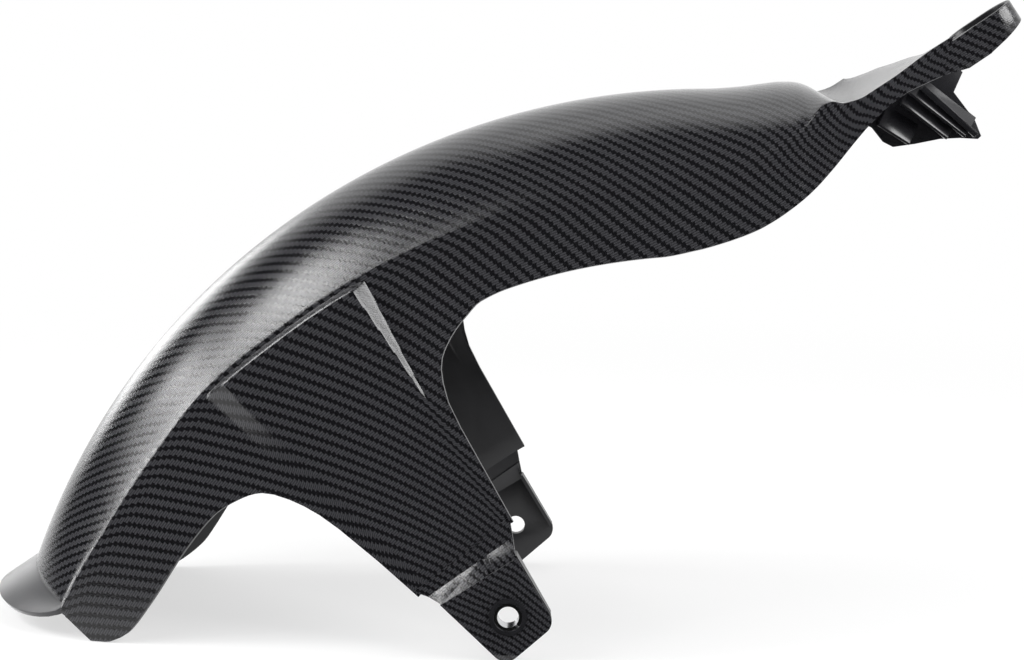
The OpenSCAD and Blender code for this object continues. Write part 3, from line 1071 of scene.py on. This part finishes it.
CAMERA_LENS, CAMERA_SENSOR = 77.34, 36
CAMERA_AT = (0.0302, -1.069, 0.3025)
CAMERA_TURN = (81.395, -0.497, 1.223)
FILL = 0.35
SHADOW_SHARE, SHADOW_FADE = 0.4, (0.2, 1.1)
FLOOR_REACH, FLOOR_DROP = 12, 0.0002
FLAG_R, CANOPY_END, LEFT_FLAG = 3.2, 118, (48, 95)
CANOPY_SPAN = (-5.0, -0.15, -0.11, 2.2)
FRONT_FLAG_FROM, FRONT_FLAG_Z = (0.22, 0.22, 0.08, 0.08), 0.003
CROWN_AIM = (-0.1, -0.04, 0.17)


def camera():
    """Stands at the right-hand side, a little above, as the picture was taken."""
    data = bpy.data.cameras.new("camera")
    data.lens = CAMERA_LENS
    data.sensor_width = CAMERA_SENSOR
    obj = linked("camera", data)
    obj.location = CAMERA_AT
    obj.rotation_euler = [math.radians(v) for v in CAMERA_TURN]
    bpy.context.scene.camera = obj


def softbox(name, at, towards, size, strength, level=(1, 0, 0)):
    """An area lamp whose long side follows level. Its strength is its brightness, where 1 is white."""
    data = bpy.data.lights.new(name, "AREA")
    data.shape = "RECTANGLE"
    data.size, data.size_y = size
    data.energy = strength * math.pi * size[0] * size[1]
    obj = linked(name, data)
    back = (Vector(at) - Vector(towards)).normalized()
    side = (Vector(level) - back * Vector(level).dot(back)).normalized()
    turn = Matrix((side, back.cross(side), back)).transposed()
    obj.matrix_world = Matrix.Translation(at) @ turn.to_4x4()


def seen_rays(tree):
    """1 for what the camera, a reflection or a clear part sees directly, 0 for soft light."""
    path = add(tree, "ShaderNodeLightPath").outputs
    seen = path["Is Camera Ray"]
    for kind in ("Is Glossy Ray", "Is Transmission Ray"):
        seen = add(tree, MATH, {"operation": "MAXIMUM"}, links={0: seen, 1: path[kind]}).outputs[0]
    return seen


def matt(name, colour, roughness):
    material, tree, bsdf = new_material(name)
    set_inputs(bsdf, {"Base Color": linear(colour), "Roughness": roughness, "Specular IOR Level": 0.0})
    return material, tree, bsdf


def floor():
    """A plain pale floor, white to the camera and in reflections, which keeps the object's shadow."""
    bm = bmesh.new()
    bmesh.ops.create_grid(bm, x_segments=1, y_segments=1, size=FLOOR_REACH)
    mesh = bpy.data.meshes.new("floor")
    bm.to_mesh(mesh)
    bm.free()
    obj = linked("floor", mesh)
    material, tree, bsdf = matt("pale_floor", "#f6f6f6", 0.9)
    # the shadow's share falls away with distance, so the floor meets the white behind it unseen
    spot = add(tree, "ShaderNodeTexCoord").outputs["Object"]
    away = add(tree, "ShaderNodeVectorMath", {"operation": "LENGTH"}, links={0: spot}).outputs["Value"]
    white = add(
        tree, MAP_RANGE, {"interpolation_type": "SMOOTHSTEP"},
        {
            "From Min": SHADOW_FADE[0], "From Max": SHADOW_FADE[1],
            "To Min": 1 - SHADOW_SHARE, "To Max": 1.0,
        },
        {"Value": away},
    ).outputs[0]
    share = add(tree, MATH, {"operation": "MULTIPLY"}, links={0: white, 1: seen_rays(tree)}).outputs[0]
    glow = add(tree, "ShaderNodeEmission", {}, {"Color": (1, 1, 1, 1), "Strength": 1.0}).outputs[0]
    mixed = add(tree, "ShaderNodeMixShader", links={0: share, 1: bsdf.outputs[0], 2: glow}).outputs[0]
    tree.links.new(mixed, tree.nodes["Material Output"].inputs["Surface"])
    mesh.materials.append(material)
    obj.location.z = -FLOOR_DROP


def flag(name, rows):
    """A sheet of black cloth through rows of points. As a studio's flag, it shows in reflections only."""
    n = len(rows[0])
    faces = [
        (n * k + i, n * k + i + 1, n * k + n + i + 1, n * k + n + i)
        for k in range(len(rows) - 1) for i in range(n - 1)
    ]
    mesh = bpy.data.meshes.new(name)
    mesh.from_pydata([p for row in rows for p in row], [], faces)
    mesh.materials.append(matt("black_cloth", "#101010", 1.0)[0])
    obj = linked(name, mesh)
    obj.visible_camera = False
    obj.visible_diffuse = False
    obj.visible_shadow = False
    obj.visible_transmission = False


def canopy_rows():
    """In front of and over the object."""
    rows = [[(x, -y, FRONT_FLAG_Z) for x, y in zip(CANOPY_SPAN, FRONT_FLAG_FROM)]]
    for elevation in np.linspace(0.1, CANOPY_END, 36):
        t = math.radians(elevation)
        rows.append([(x, -FLAG_R * math.cos(t), FLAG_R * math.sin(t)) for x in CANOPY_SPAN])
    return rows


def left_rows():
    """Behind the object on its left, from the floor up."""
    rows = []
    for azimuth in np.linspace(*LEFT_FLAG, 12):
        t = math.radians(azimuth)
        rows.append([(-FLAG_R * math.sin(t), FLAG_R * math.cos(t), z) for z in (0.0, 3.4)])
    return rows


def world():
    """White to the camera, to gloss and to glass; a soft grey fill for everything else."""
    made = bpy.data.worlds.new("studio")
    bpy.context.scene.world = made
    made.use_nodes = True
    tree = made.node_tree
    strength = add(tree, MAP_RANGE, {}, {"To Min": FILL, "To Max": 1.0}, {"Value": seen_rays(tree)})
    background = tree.nodes["Background"]
    background.inputs["Color"].default_value = (1, 1, 1, 1)
    tree.links.new(strength.outputs[0], background.inputs["Strength"])


camera()
floor()
flag("front_flag", canopy_rows())
flag("left_flag", left_rows())
world()
# Each lamp: where it hangs, what it points at, its two sides, its brightness, where its side runs
softbox("crease_high", (-1.15, -0.34, 1.19), CROWN_AIM, (0.75, 0.28), 14.0, (0.276, -0.961, 0))
softbox("crease_low", (-1.48, -0.23, 0.73), CROWN_AIM, (0.26, 0.62), 15.0, (0.1, -0.99, 0))
softbox("crease_front", (-0.89, -0.92, 1.09), CROWN_AIM, (0.75, 0.25), 6.0, (0.743, -0.669, 0))
softbox("lip_box", (-1.41, 0.2, 0.76), (-0.22, -0.05, 0.03), (0.34, 0.34), 10.0, (0.1, -0.99, 0))
softbox("crease_foot", (-1.5, -0.53, 0.2), (-0.18, -0.06, 0.08), (0.2, 0.36), 18.0, (0.33, -0.94, 0))
softbox("rim", (-1.18, 1.62, 0.5), (-0.1, 0, 0.15), (0.7, 0.7), 3.0, (0.78, 0.6, 0))
softbox("right", (1.22, -0.58, 1.1), (-0.05, -0.05, 0.17), (1.2, 0.8), 8.0, (0.25, 1.0, 0.0))
softbox("overhead", (0.1, 0.55, 1.7), (0.05, 0, 0.2), (1.4, 0.6), 1.4)

bpy.context.scene.view_settings.view_transform = "Standard"
